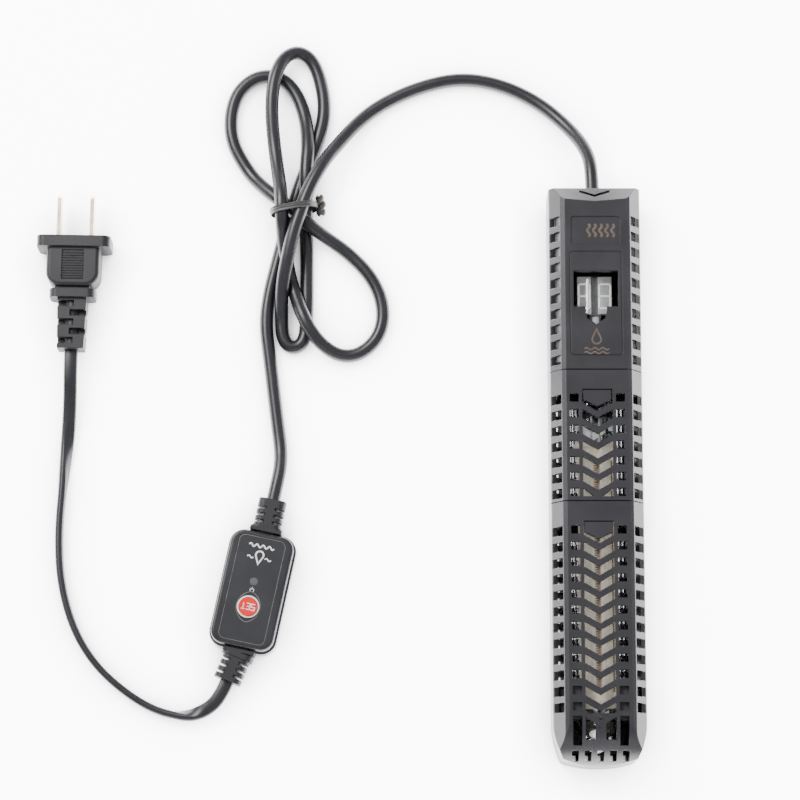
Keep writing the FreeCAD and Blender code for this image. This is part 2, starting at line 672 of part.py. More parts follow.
def build_seals():
    plug_part = cylinder("StopperPlug", "tube_r - tube_wall - 0.05", "stopper_length", "0",
                         "tube_top - stopper_length", "half_height")
    rim_part = cylinder("StopperRim", "tube_r", "2", "0", "tube_top", "half_height")
    fuse("tube_stopper", plug_part, rim_part)
    neck = cylinder("GlandNeck", "gland_r - 0.05", "end_wall", "0",
                    "head_seam + head_length - end_wall", "half_height")
    collar = cylinder("GlandCollar", "6", "2.5", "0",
                      "head_seam + head_length - end_wall - 2.5", "half_height")
    fuse("cable_gland", neck, collar)
    for label, y in (("tube_collar_lower", "head_seam + 2"), ("tube_collar_upper", "head_seam + 54")):
        body = new_body(label)
        ring = sketch_on(body, "XZ_Plane", label + "_face")
        outline(ring, inner_section("head_wall", "fit"))
        circle(ring, "0", "0", "collar_bore")
        pad(body, ring, "collar_thick", reverse=True)
        place(body, "0", y, "half_height")

    # The cradle fills the guard's sides beside the tube's end and leaves its middle open
    body = new_body("tube_cradle")
    ring = sketch_on(body, "XZ_Plane", "CradleFace")
    outline(ring, inner_section("wall", "fit"))
    circle(ring, "0", "0", "cradle_bore")
    pad(body, ring, "13.2")
    gap = sketch_on(body, "XY_Plane", "CradleGap")
    box_outline(gap, "0 - cradle_gap", "cradle_gap", "cradle_band - 13.2", "1")
    pocket(body, gap, None, both=True)
    place(body, "0", "nose_seam - cavity_full + 13.3", "half_height")


# ---------------------------------------------------------------- controller

CONTROLLER_TURN = Rotation(Z_WAY, -12.1)
CONTROLLER_AT = Vector(-130.3, -42.7, 0)


def on_controller(item, x=0, y=0, z=0, turn=0):
    """Place a sub-part given in the controller's own frame: +Y towards the heater, +Z up."""
    own = Placement(Vector(x, y, z), Rotation(Z_WAY, turn)).multiply(item.Placement)
    item.Placement = Placement(CONTROLLER_AT, CONTROLLER_TURN).multiply(own)


def upright_corner(x, y):
    """A test for the vertical edges near the corners of a box of these half sizes."""
    def wanted(start, end):
        upright = abs(start.x - end.x) < 1e-4 and abs(start.y - end.y) < 1e-4
        return upright and abs(abs(start.x) - x) < 1e-3 and abs(abs(start.y) - y) < 1e-3
    return wanted


def rounded_slab(body, name, half, end, raised, tall, radius):
    """A slab centred on the origin with rounded upright corners."""
    sketch = sketch_on(body, "XY_Plane", name, raised)
    box_outline(sketch, minus(half), half, minus(end), end)
    solid = pad(body, sketch, tall)
    return round_edges(body, solid, radius, upright_corner(amount(half), amount(end)))


def circles(body, name, raised, spots, *radii):
    """A sketch of equal circles, or rings if two radii are given."""
    sketch = sketch_on(body, "XY_Plane", name, raised)
    for x, y in spots:
        for radius in radii:
            circle(sketch, x, y, radius)
    return sketch


SCREW_SPOTS = [("screw_x", "screw_y"), ("0 - screw_x", "0 - screw_y")]
BUTTON_SPOT = [("0", "button_y")]
LED_SPOT = [("0", "led_y")]


def boot_openings(body, name):
    """Openings in both end walls for the necks of the two boots."""
    sketch = sketch_on(body, "XZ_Plane", name)
    box_outline(sketch, "0 - boot_hole", "boot_hole", "boot_height - boot_hole",
                "boot_height + boot_hole")
    pocket(body, sketch, None, both=True)


def build_housing():
    base = new_body("controller_base")
    rounded_slab(base, "BaseOutside", "box_half + base_flare", "box_end + base_flare", "0",
                 "base_tall", "box_r + base_flare")
    hollow = sketch_on(base, "XY_Plane", "BaseInside", "base_tall")
    box_outline(hollow, "box_wall - box_half", "box_half - box_wall", "box_wall - box_end",
                "box_end - box_wall")
    pocket(base, hollow, "base_tall - box_wall")
    pad(base, circles(base, "BaseBosses", "1", SCREW_SPOTS, "2.1"), "base_tall - 1")
    pocket(base, circles(base, "BaseScrewHoles", "0", SCREW_SPOTS, "1.15"), None, reverse=True)
    pocket(base, circles(base, "BaseScrewSinks", "0", SCREW_SPOTS, "1.9"), "1.4", reverse=True)
    boot_openings(base, "BaseBootOpenings")
    on_controller(base)

    cover = new_body("controller_cover")
    outside = rounded_slab(cover, "CoverOutside", "box_half", "box_end", "base_tall",
                           "box_tall - base_tall", "box_r")
    top = amount("box_tall")
    round_edges(cover, outside, "1.2",
                lambda start, end: abs(start.z - top) < 1e-3 and abs(end.z - top) < 1e-3)
    hollow = sketch_on(cover, "XY_Plane", "CoverInside", "base_tall")
    box_outline(hollow, "box_wall - box_half", "box_half - box_wall", "box_wall - box_end",
                "box_end - box_wall")
    pocket(cover, hollow, "box_tall - base_tall - cover_top", reverse=True)
    seat = sketch_on(cover, "XY_Plane", "LabelSeat", "box_tall")
    box_outline(seat, "0 - label_x", "label_x", "0 - label_y", "label_y")
    recess = pocket(cover, seat, "label_thick")
    round_edges(cover, recess, "sticker_r", upright_corner(amount("label_x"), amount("label_y")))
    pocket(cover, circles(cover, "CoverButtonHole", "box_tall", BUTTON_SPOT, "bezel_r"),
           "cover_top + 1")
    pocket(cover, circles(cover, "CoverLedHole", "box_tall", LED_SPOT, "led_r + 0.05"),
           "cover_top + 1")
    pad(cover, circles(cover, "CoverPosts", "base_tall + 0.05", SCREW_SPOTS, "2", "1.1"),
        "box_tall - base_tall - cover_top")
    boot_openings(cover, "CoverBootOpenings")
    on_controller(cover)

    sticker = new_body("controller_label")
    rounded_slab(sticker, "Sticker", "label_x", "label_y", "box_tall - label_thick",
                 "label_thick", "sticker_r")
    pocket(sticker, circles(sticker, "StickerButtonHole", "box_tall", BUTTON_SPOT, "bezel_r"),
           "label_thick + 0.5")
    pocket(sticker, circles(sticker, "StickerLedHole", "box_tall", LED_SPOT, "led_r + 0.05"),
           "label_thick + 0.5")
    on_controller(sticker)


def build_button():
    bezel = new_body("button_bezel")
    ring = circles(bezel, "BezelRing", "box_tall - cover_top", BUTTON_SPOT, "bezel_r",
                   "bezel_bore")
    pad(bezel, ring, "bezel_top - box_tall + cover_top")
    button = new_body("set_button")
    pad(button, circles(button, "ButtonFlange", "flange_z", BUTTON_SPOT, "4.7"), "0.7")
    pad(button, circles(button, "ButtonCap", "flange_z", BUTTON_SPOT, "button_r"),
        "button_top - flange_z")
    plunger = new_body("switch_plunger")
    pad(plunger, circles(plunger, "Plunger", "flange_z - 1.2", BUTTON_SPOT, "1.6"), "1.2")
    switch = new_body("tact_switch")
    case = sketch_on(switch, "XY_Plane", "SwitchCase", "board_z + 1.6")
    box_outline(case, "-3", "3", "button_y - 3", "button_y + 3")
    pad(switch, case, "3.2")
    pocket(switch, circles(switch, "SwitchWell", "board_z + 4.8", BUTTON_SPOT, "1.65"), "1.6")
    lens = new_body("led_lens")
    pad(lens, circles(lens, "Lens", "board_z + 1.6", LED_SPOT, "led_r"),
        "box_tall - board_z - 1.55")
    board = new_body("controller_board")
    rounded_slab(board, "BoardSlab", "board_x", "board_y", "board_z", "1.6", "1")
    pocket(board, circles(board, "BoardNotches", "board_z + 1.6", SCREW_SPOTS, "2.5"), "1.6")
    screws = [fuse("Screw%d" % number,
                   cylinder("Shank%d" % number, "1.05", "9", x, y, "0.1", Rotation()),
                   cylinder("ScrewHead%d" % number, "1.8", "1.2", x, y, "0.1", Rotation()))
              for number, (x, y) in enumerate(SCREW_SPOTS)]
    screw_set = group("controller_screws", *screws)
    for item in (bezel, button, plunger, switch, lens, board, screw_set):
        on_controller(item)


def build_boot(label, length, end_y, turn, lean, gap):
    """A ribbed rubber boot along +Y: rings on a core, a collar, a lip on the housing and a neck in it.
    The boot leans away from the housing's own axis, and its root stands off by gap to allow that."""
    body = new_body(label)
    barrel = sketch_on(body, "XZ_Plane", label + "_barrel")
    box_outline(barrel, "0 - boot_half", "boot_half", "0 - boot_half_z", "boot_half_z")
    solid = pad(body, barrel, length, reverse=True)
    round_edges(body, solid, "2.6", lengthwise_at(amount("boot_half")))
    for side in (1, -1):
        cut_name = "%s_gap%d" % (label, side + 1)
        slit = sketch_on(body, "XY_Plane", cut_name)
        box_outline(slit, "boot_spine" if side > 0 else "0 - boot_half - 1",
                    "boot_half + 1" if side > 0 else "0 - boot_spine", "3.3", "4.4")
        y_pattern(body, pocket(body, slit, None, both=True), "boot_pitch", 3)
    core = sketch_on(body, "XZ_Plane", label + "_core")
    circle(core, "0", "0", "core_boot_r")
    pad(body, core, length, reverse=True)

    tilt = math.radians(lean)
    lean_way = Rotation(Y_WAY, lean)
    wide = "boot_half + 0.8"
    for name, base, way, thick in (
            ("collar", Vector(0, 0, 0), Rotation(), "2"),
            ("lip", Vector(math.sin(tilt), 0, math.cos(tilt)) * gap, lean_way, "1.3")):
        face = sketch_on(body, "XZ_Plane", "%s_%s" % (label, name))
        face.AttachmentOffset = Placement(base, way)
        box_outline(face, minus(wide), wide, "0 - boot_half_z - 0.4", "boot_half_z + 0.4")
        ring = pad(body, face, thick, reverse=True)
        if name == "collar":
            round_edges(body, ring, "2.8", lengthwise_at(amount(wide)))
    neck = sketch_on(body, "XZ_Plane", label + "_neck")
    neck.AttachmentOffset = Placement(Vector(math.sin(tilt), 0, math.cos(tilt)) * (gap - 0.2),
                                      lean_way)
    box_outline(neck, "0 - boot_neck", "boot_neck", "0 - boot_neck", "boot_neck")
    pad(body, neck, "box_wall + base_flare + 1.2")
    on_controller(body, 0, amount(end_y), amount("boot_height"), turn)


# ---------------------------------------------------------------- plug

PLUG = Placement(Vector(-200.3, 94.5, 0), Rotation(Z_WAY, -1))


def on_plug(item):
    item.Placement = PLUG.multiply(item.Placement)


def build_plug():
    """The plug along +Y, its blades beyond Y = 0 and its flange, grip and strain relief behind."""
    body = new_body("plug_mould")
    flange = sketch_on(body, "XZ_Plane", "PlugFlange")
    box_outline(flange, "0 - flange_half", "flange_half", "0", "2 * plug_axis")
    solid = pad(body, flange, "flange_length")
    half = amount("flange_half")
    round_edges(body, solid, "3", lengthwise_at(half))

    grip = sketch_on(body, "XY_Plane", "PlugGrip", "plug_axis - 0.5 * plug_tall")
    low, corner = "0 - flange_length - plug_length", "plug_half - plug_r"
    outline(grip, [("plug_half", "0 - flange_length + 0.5"), ("plug_half", low + " + plug_r"),
                   (corner, low), (minus(corner), low), ("0 - plug_half", low + " + plug_r"),
                   ("0 - plug_half", "0 - flange_length + 0.5")],
            {1: ("plug_r", -1), 3: ("plug_r", -1)})
    block_grip = pad(body, grip, "plug_tall")
    levels = [amount("plug_axis - 0.5 * plug_tall"), amount("plug_axis + 0.5 * plug_tall")]
    edge_y = amount("0 - flange_length")
    round_edges(body, block_grip, "1.6",
                lambda start, end: any(abs(start.z - z) < 1e-3 and abs(end.z - z) < 1e-3
                                       for z in levels)
                and min(start.y, end.y) < edge_y - 1 and abs(start.x) < half - 1)
    for side, way in (("1", False), ("-1", True)):
        recess = sketch_on(body, "XY_Plane", "GripPanel%s" % ("Top" if side == "1" else "Back"),
                           "plug_axis + %s * 0.5 * plug_tall" % side)
        box_outline(recess, "0 - 4.2", "4.2", low + " + 2.6", "0 - flange_length - 1.2")
        pocket(body, recess, "0.5", reverse=way)
    ribs = sketch_on(body, "XY_Plane", "GripRibs", "plug_axis - 0.5 * plug_tall + 0.2")
    box_outline(ribs, "0 - 4", "4", low + " + 3", low + " + 3.5")
    y_pattern(body, pad(body, ribs, "plug_tall - 0.4"), "1", 11)

    neck = sketch_on(body, "XZ_Plane", "PlugNeck", "flange_length + plug_length - 0.5")
    box_outline(neck, "0 - neck_half", "neck_half", "plug_axis - 4.6", "plug_axis + 4.6")
    pad(body, neck, "neck_length + 0.5")
    collar = sketch_on(body, "XZ_Plane", "PlugCollar", "flange_length + plug_length + neck_length")
    box_outline(collar, "0 - collar_half", "collar_half", "plug_axis - 5.8", "plug_axis + 5.8")
    ring = pad(body, collar, "collar_wide")
    round_edges(body, ring, "2.8", lengthwise_at(amount("collar_half")))

    start = "flange_length + plug_length + neck_length + collar_wide"
    relief = sketch_on(body, "XY_Plane", "PlugRelief", "plug_axis - 4.4")
    outline(relief, [("relief_half", minus(start) + " + 0.5"),
                     ("relief_half - 0.5", minus(start) + " - relief_length"),
                     ("0.5 - relief_half", minus(start) + " - relief_length"),
                     ("0 - relief_half", minus(start) + " + 0.5")])
    pad(body, relief, "8.8")
    for number in range(10):
        row, below = number % 5, number > 4
        slot = sketch_on(body, "XY_Plane", "ReliefSlot%d" % number,
                         "plug_axis - 4.4" if below else "plug_axis + 4.4")
        left = "0 - relief_half - 1" if row % 2 == 0 else "0 - 0.6"
        right = "0.9" if row % 2 == 0 else "relief_half + 1"
        middle = minus(start) + " - 2.3 - %.2f" % (3.65 * row)
        box_outline(slot, left, right, middle + " - 1.2", middle + " + 1.2")
        pocket(body, slot, "3", reverse=below)
    core = sketch_on(body, "XZ_Plane", "ReliefCore", start + " - 0.5")
    circle(core, "0", "plug_axis", "3")
    pad(body, core, "relief_length + 0.5")

    carrier_room = block("CarrierRoom", ("18", "8", "8"), ("-9", "0 - flange_length - 5", "4"))
    blade_rooms = []
    blades = {}
    for name, side in (("plug_blade_left", -1), ("plug_blade_right", 1)):
        low_x = "%.2f * blade_space - 0.5 * blade_thick" % (0.5 * side)
        low_corner = (low_x, "0 - blade_in", "plug_axis - 0.5 * blade_wide")
        size = ("blade_thick", "blade_in + blade_out", "blade_wide")
        blade_rooms.append(block(name + "_room", size, low_corner))
        blade = new_body(name)
        sketch = sketch_on(blade, "YZ_Plane", name + "_face", low_x)
        outline(sketch, [("0 - blade_in", "plug_axis - 0.5 * blade_wide"),
                         ("blade_out - 1.2", "plug_axis - 0.5 * blade_wide"),
                         ("blade_out", "plug_axis - 0.5 * blade_wide + 1.2"),
                         ("blade_out", "plug_axis + 0.5 * blade_wide - 1.2"),
                         ("blade_out - 1.2", "plug_axis + 0.5 * blade_wide"),
                         ("0 - blade_in", "plug_axis + 0.5 * blade_wide")])
        pad(blade, sketch, "blade_thick")
        on_plug(blade)
    rooms = fuse("BladeRooms", *blade_rooms)
    on_plug(cut("blade_carrier", block("CarrierBlock", ("18", "8", "8"),
                                       ("-9", "0 - flange_length - 5", "4")), rooms))
    on_plug(cut("plug_body", body, carrier_room, rooms))


# ---------------------------------------------------------------- cords

HEATER_ROUTE = [
    (0, 110, 16), (0, 119.5, 16), (-1.5, 129, 12), (-7, 139, 6), (-17.5, 150, 2.7),
    (-32, 157.5, 2.7), (-49, 161.5, 2.7), (-66, 159, 2.7), (-82, 151, 2.7), (-94, 139.5, 2.7),
    (-104, 125, 2.7)]
CONTROLLER_ROUTE = [
    (-126.8, 64, 2.7), (-125, 48, 2.7), (-122.4, 30, 2.7), (-120, 16, 2.7), (-120, 6, 5),
    (-121.5, -1.6, 6), (-122.82, -7.79, 6)]
MAINS_ROUTE = [
    (-139.7, -76.75, 6), (-142.4, -83.2, 6), (-148, -88, 4.4), (-156, -90.2, 2.4),
    (-167, -87.8, 2.2), (-179, -80.5, 2.2), (-190.5, -70, 2.2), (-199, -56, 2.2), (-204, -38, 2.2),
    (-205, -19, 2.2), (-203.6, 0, 2.2), (-202, 18, 2.2), (-201.3, 31, 5.5), (-201.2, 42.5, 8),
    (-201.06, 50.7, 8)]


def cord(label, route, radius):
    """A round cord along straight runs joined by tangent arcs."""
    corners = [Vector(*point) for point in route]
    edges = []
    radii = []
    last = corners[0]
    for before, corner, after in zip(corners, corners[1:], corners[2:]):
        inward = (corner - before).normalize()
        outward = (after - corner).normalize()
        reach = 0.45 * min((corner - before).Length, (after - corner).Length)
        turn = inward.getAngle(outward)
        radii.append(reach / math.tan(turn / 2))
        start, end = corner - inward * reach, corner + outward * reach
        centre_way = (outward - inward).normalize()
        offset = radii[-1] * (1 / math.cos(turn / 2) - 1)
        edges.append(Part.LineSegment(last, start).toShape())
        edges.append(Part.Arc(start, corner + centre_way * offset, end).toShape())
        last = end
    edges.append(Part.LineSegment(last, corners[-1]).toShape())
    spine = doc.addObject("Part::Feature", label + "_spine")
    spine.Shape = Part.Wire(edges)
    profile = doc.addObject("Part::Circle", label + "_profile")
    profile.setExpression("Radius", cell(radius))
    profile.Placement = Placement(corners[0], Rotation(Z_WAY, corners[1] - corners[0]))
    sweep = doc.addObject("Part::Sweep", label)
    sweep.Label = label
    sweep.Sections = [profile]
    sweep.Spine = (spine, ["Edge%d" % number for number in range(1, len(edges) + 1)])
    sweep.Solid = True
    sweep.Frenet = False
    doc.recompute()
    expected = math.pi * amount(radius) ** 2 * spine.Shape.Length
    print("%s: length %.1f, smallest bend %.1f, volume ratio %.3f"
          % (label, spine.Shape.Length, min(radii), sweep.Shape.Volume / expected))


def build_cords():
    cord("cord_heater", HEATER_ROUTE, "cord_r")
    cord("cord_controller", CONTROLLER_ROUTE, "cord_r")
    cord("cord_mains", MAINS_ROUTE, "mains_r")

    # The tied hank, as one solid of its outer shape
    hank = new_body("cord_hank")
    shape = sketch_on(hank, "XY_Plane", "HankOutline")
    corners = [(-106, 174), (-98, 164), (-97, 148), (-101, 130), (-104, 113), (-94, 98),
               (-80, 85), (-77, 66), (-82, 53), (-95, 47), (-114, 48), (-126, 54), (-131, 66),
               (-131, 85), (-126, 100), (-127, 112), (-137, 124), (-145, 140), (-143, 155),
               (-134, 164), (-124, 166), (-116, 174)]
    outline(shape, [(str(x), str(y)) for x, y in corners])
    pad(hank, shape, "hank_tall")
    tie = cut("TieBand", block("TieOuter", ("20", "tie_wide", "16"), ("-10", "-1.1", "0")),
              block("TieInner", ("18.4", "tie_wide + 2", "14.6"), ("-9.2", "-2.1", "0.7")))
    knot = cylinder("TieKnot", "2", "9", "11.2", "-3", "4")
    fuse("cord_tie", tie, knot).Placement = Placement(Vector(-115.5, 106.5, 0),
                                                      Rotation(Z_WAY, 10))


# ---------------------------------------------------------------- build, check and write

NAMES = [
    "guard_head", "guard_middle", "guard_nose", "middle_latch", "nose_latch", "glass_tube",
    "ceramic_core", "heating_coils", "insulating_disc_lower", "insulating_disc_upper",
    "circuit_board", "display_module", "indicator_led", "triac", "relay", "capacitor",
    "temperature_sensor", "thermal_fuse", "lead_wires", "tube_stopper", "cable_gland",
    "tube_collar_lower", "tube_collar_upper", "tube_cradle", "controller_base",
    "controller_cover", "controller_label", "controller_board", "controller_screws",
    "button_bezel", "set_button", "switch_plunger", "tact_switch", "led_lens", "boot_upper",
    "boot_lower", "plug_body", "blade_carrier", "plug_blade_left", "plug_blade_right",
    "cord_heater", "cord_controller", "cord_mains", "cord_hank", "cord_tie"]


def part_named(label):
    return [item for item in doc.Objects if item.Label == label][0]


build_head()
build_middle()
build_nose()
build_latch("middle_latch", "head_seam")
build_latch("nose_latch", "nose_seam")
build_tube()
build_core()
build_electronics()
build_seals()
build_housing()
build_button()
build_boot("boot_upper", "12.8", "box_end + base_flare", 0, 0, 0)
build_boot("boot_lower", "11.4", "0 - box_end - base_flare - 1.15", 169.6, 10.4, 1.15)
build_plug()
build_cords()
doc.recompute()

for item in doc.Objects:
    if "Invalid" in item.State or "Error" in item.State:
        raise RuntimeError("%s is in state %s" % (item.Name, item.State))
for name in NAMES:
    shape = part_named(name).Shape
    if shape.isNull() or not shape.isValid() or not shape.Solids:
        raise RuntimeError("%s has no valid solid" % name)
for name in NAMES:
    part_named(name).Shape.exportStep("parts/%s.step" % name)
print("%d parts written" % len(NAMES))
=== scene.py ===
"""Submersible aquarium heater: a heater tube in a slotted guard, its cord tied in a hank,
a small controller in line with the cord, and a flat mains cord with a two-pin plug."""
import json
import math

import bmesh
import bpy
from mathutils import Matrix, Vector

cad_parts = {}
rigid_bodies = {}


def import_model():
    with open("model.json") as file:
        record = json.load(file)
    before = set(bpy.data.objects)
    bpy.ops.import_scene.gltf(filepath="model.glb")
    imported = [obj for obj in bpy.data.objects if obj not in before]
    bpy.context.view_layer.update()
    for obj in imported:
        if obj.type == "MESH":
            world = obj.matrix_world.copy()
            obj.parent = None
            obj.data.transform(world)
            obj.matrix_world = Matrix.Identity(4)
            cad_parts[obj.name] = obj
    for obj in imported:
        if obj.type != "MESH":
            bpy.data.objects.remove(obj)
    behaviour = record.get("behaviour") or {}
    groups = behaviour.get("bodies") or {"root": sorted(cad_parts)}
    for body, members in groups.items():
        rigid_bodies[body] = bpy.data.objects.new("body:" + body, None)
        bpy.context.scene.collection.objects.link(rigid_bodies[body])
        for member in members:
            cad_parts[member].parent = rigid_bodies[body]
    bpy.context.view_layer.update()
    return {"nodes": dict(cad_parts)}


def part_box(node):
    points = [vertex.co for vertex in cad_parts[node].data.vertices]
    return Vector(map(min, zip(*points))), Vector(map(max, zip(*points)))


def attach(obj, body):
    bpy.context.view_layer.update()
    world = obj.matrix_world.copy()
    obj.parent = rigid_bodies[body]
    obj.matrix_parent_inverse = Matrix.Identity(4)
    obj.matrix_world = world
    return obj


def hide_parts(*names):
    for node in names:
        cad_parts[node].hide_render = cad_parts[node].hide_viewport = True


for leftover in list(bpy.data.objects):
    bpy.data.objects.remove(leftover)

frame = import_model()
MM = 0.001
CORD_D = 0.0053
MAINS_WIDE = 0.0053
MAINS_THICK = 0.0032
CONTROLLER_TURN = math.radians(-12.1)
BUTTON_Y = -6.7
INK = 0.03
NOISE_LOW = 0.3
NOISE_HIGH = 0.7


# ---------------------------------------------------------------- frame helpers

def middle(node):
    low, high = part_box(node)
    return (low + high) / 2


def top_of(node):
    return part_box(node)[1].z


def millimetres(points):
    return [Vector(point) * MM for point in points]


# ---------------------------------------------------------------- materials

def noise(tree, scale, detail=3.0):
    where = tree.nodes.new("ShaderNodeTexCoord")
    node = tree.nodes.new("ShaderNodeTexNoise")
    node.inputs["Scale"].default_value = scale
    node.inputs["Detail"].default_value = detail
    node.inputs["Roughness"].default_value = 0.55
    tree.links.new(where.outputs["Object"], node.inputs["Vector"])
    return node.outputs["Fac"]


def ramp(tree, source, low, high):
    """A colour ramp between two colours, driven by a noise."""
    node = tree.nodes.new("ShaderNodeValToRGB")
    node.color_ramp.elements[0].position = NOISE_LOW
    node.color_ramp.elements[1].position = NOISE_HIGH
    node.color_ramp.elements[0].color = (*low, 1)
    node.color_ramp.elements[1].color = (*high, 1)
    tree.links.new(source, node.inputs["Fac"])
    return node.outputs["Color"]


def spread(tree, source, low, high):
    """A value between two limits, driven by a noise."""
    node = tree.nodes.new("ShaderNodeMapRange")
    node.inputs["From Min"].default_value = NOISE_LOW
    node.inputs["From Max"].default_value = NOISE_HIGH
    node.inputs["To Min"].default_value = low
    node.inputs["To Max"].default_value = high
    tree.links.new(source, node.inputs["Value"])
    return node.outputs["Result"]


def material(name, colour, rough, metal=0.0, vary=0.2, patch=60, grain=2600, bump=0.05,
             edge=0.0002, glass=0.0, coat=0.0, glow=0.0, specular=0.5):
    """A surface whose colour and gloss drift over it, with a fine moulded grain and soft edges."""
    made = bpy.data.materials.new(name)
    made.use_nodes = True
    tree = made.node_tree
    shader = tree.nodes["Principled BSDF"]
    drift = noise(tree, patch)
    low = [channel * (1 - vary) for channel in colour]
    high = [min(1.0, channel * (1 + vary)) for channel in colour]
    tree.links.new(ramp(tree, drift, low, high), shader.inputs["Base Color"])
    tree.links.new(spread(tree, drift, rough * 0.88, min(1.0, rough * 1.12)),
                   shader.inputs["Roughness"])
    shader.inputs["Metallic"].default_value = metal
    shader.inputs["Specular IOR Level"].default_value = specular
    shader.inputs["Transmission Weight"].default_value = glass
    shader.inputs["Coat Weight"].default_value = coat
    # glow makes the surface give off light in its own colour: painted light on the parts below that
    # are no lamps
    if glow:
        shader.inputs["Emission Color"].default_value = (*colour, 1)
        shader.inputs["Emission Strength"].default_value = glow
    relief = tree.nodes.new("ShaderNodeBump")
    relief.inputs["Strength"].default_value = bump
    relief.inputs["Distance"].default_value = 0.0002
    tree.links.new(noise(tree, grain, 2.0), relief.inputs["Height"])
    if edge:
        soft = tree.nodes.new("ShaderNodeBevel")
        soft.samples = 4
        soft.inputs["Radius"].default_value = edge
        tree.links.new(soft.outputs["Normal"], relief.inputs["Normal"])
    tree.links.new(relief.outputs["Normal"], shader.inputs["Normal"])
    return made


LOOKS = {
    "guard": material("guard", (0.0125, 0.0120, 0.0145), 0.36, bump=0.10, edge=0.0003,
                      specular=0.42),
    "rubber": material("rubber", (0.012, 0.012, 0.013), 0.62, bump=0.15),
    "glass": material("glass", (0.95, 0.97, 0.97), 0.03, vary=0.02, bump=0.0, edge=0, glass=1.0),
    # the ceramic core and its discs glow a little: painted light that lifts them behind the glass
    "ceramic": material("ceramic", (0.86, 0.78, 0.64), 0.6, vary=0.08, patch=220, bump=0.2,
                        glow=0.22),
    # the coils' faint glow is painted light
    "coil": material("coil", (0.42, 0.31, 0.19), 0.45, metal=0.5, patch=400, glow=0.08),
    "wire": material("wire", (0.70, 0.66, 0.58), 0.4, metal=0.4, patch=300),
    "board": material("board", (0.022, 0.032, 0.034), 0.42, patch=260, bump=0.12),
    "component": material("component", (0.02, 0.02, 0.021), 0.45, patch=240),
    "capacitor": material("capacitor", (0.03, 0.045, 0.09), 0.35, patch=240),
    "display": material("display", (0.022, 0.020, 0.018), 0.3, patch=200),
    # the display pane and its unlit digit bars glow: painted light
    "face": material("face", (0.40, 0.395, 0.39), 0.45, vary=0.1, patch=350, glow=0.35),
    "segment": material("segment", (0.85, 0.84, 0.82), 0.4, vary=0.06, patch=500, glow=0.9),
    "indicator": material("indicator", (0.75, 0.75, 0.72), 0.3, vary=0.06, patch=500, glow=0.15),
    "sensor": material("sensor", (0.05, 0.045, 0.04), 0.35, patch=300),
    # the base's grey is set lighter than the cover's partly to stand in for the floor's reflection
    # on its sides: part its own grey, part painted reflection
    "base": material("base", (0.05, 0.05, 0.055), 0.22, bump=0.05, coat=0.2),
    "cover": material("cover", (0.009, 0.009, 0.011), 0.36, bump=0.08, edge=0.0004,
                      specular=0.4),
    "label": material("label", (0.0075, 0.0075, 0.010), 0.40, bump=0.06, edge=0, specular=0.4),
    "print": material("print", (0.62, 0.62, 0.62), 0.5, vary=0.15, patch=700, edge=0),
    "faint_print": material("faint_print", (0.085, 0.085, 0.088), 0.4, vary=0.5, patch=350, edge=0),
    "tan_print": material("tan_print", (0.075, 0.052, 0.035), 0.5, vary=0.3, patch=600, edge=0),
    # light grey strips in the head's flank slots: painted reflection on the slot floors
    "slot_reflection": material("slot_reflection", (0.16, 0.16, 0.165), 0.30, vary=0.2, patch=160, bump=0.12),
    "screw": material("screw", (0.55, 0.55, 0.56), 0.3, metal=1.0, patch=500),
    "ring": material("ring", (0.72, 0.72, 0.71), 0.35, vary=0.05, patch=400),
    "button": material("button", (0.62, 0.010, 0.006), 0.34, vary=0.1, patch=300, specular=0.3),
    "lens": material("lens", (0.060, 0.062, 0.060), 0.3, vary=0.1, patch=500),
    "boot": material("boot", (0.0075, 0.0075, 0.009), 0.5, bump=0.15, specular=0.35),
    "plug": material("plug", (0.0065, 0.0065, 0.0085), 0.5, bump=0.18, grain=1800, edge=0.0004,
                     specular=0.35),
    "blade": material("blade", (0.80, 0.69, 0.47), 0.24, metal=1.0, patch=160),
    "cord": material("cord", (0.0070, 0.0070, 0.0090), 0.36, patch=90, bump=0.06, edge=0,
                     specular=0.42),
    "tie": material("tie", (0.030, 0.027, 0.026), 0.5, vary=0.35, patch=400, bump=0.2, edge=0),
    "tie_end": material("tie_end", (0.090, 0.070, 0.055), 0.5, vary=0.3, patch=500, edge=0),
}

NODE_LOOKS = {
    "guard": ["guard_head", "guard_middle", "guard_nose", "middle_latch", "nose_latch"],
    "rubber": ["tube_stopper", "cable_gland", "tube_collar_lower", "tube_collar_upper",
               "tube_cradle"],
    "glass": ["glass_tube"],
    "ceramic": ["ceramic_core", "insulating_disc_lower", "insulating_disc_upper"],
    "wire": ["lead_wires"],
    "board": ["circuit_board", "controller_board"],
    "component": ["relay", "triac", "thermal_fuse", "tact_switch", "switch_plunger"],
    "capacitor": ["capacitor"],
    "display": ["display_module"],
    "indicator": ["indicator_led"],
    "sensor": ["temperature_sensor"],
    "base": ["controller_base"],
    "cover": ["controller_cover"],
    "label": ["controller_label"],
    "screw": ["controller_screws"],
    "ring": ["button_bezel"],
    "button": ["set_button"],
    "lens": ["led_lens"],
    "boot": ["boot_upper", "boot_lower"],
    "plug": ["plug_body", "blade_carrier"],
    "blade": ["plug_blade_left", "plug_blade_right"],
}


def dress_nodes():
    """Every CAD piece that shows gets its material and smooth shading on its curved faces."""
    for look, names in NODE_LOOKS.items():
        for name in names:
            item = frame["nodes"][name]
            item.data.materials.clear()
            item.data.materials.append(LOOKS[look])
            item.data.shade_smooth()
            item.data.set_sharp_from_angle(angle=math.radians(28))


# ---------------------------------------------------------------- piece helpers

def keep(item, look, body="heater"):
    """Give a new piece its material and the CAD body that it rides on."""
    item.data.materials.append(LOOKS[look])
    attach(item, body)
    return item


def linked(name, data, place=Matrix()):
    item = bpy.data.objects.new(name, data)
    bpy.context.scene.collection.objects.link(item)
    item.matrix_world = place
    return item


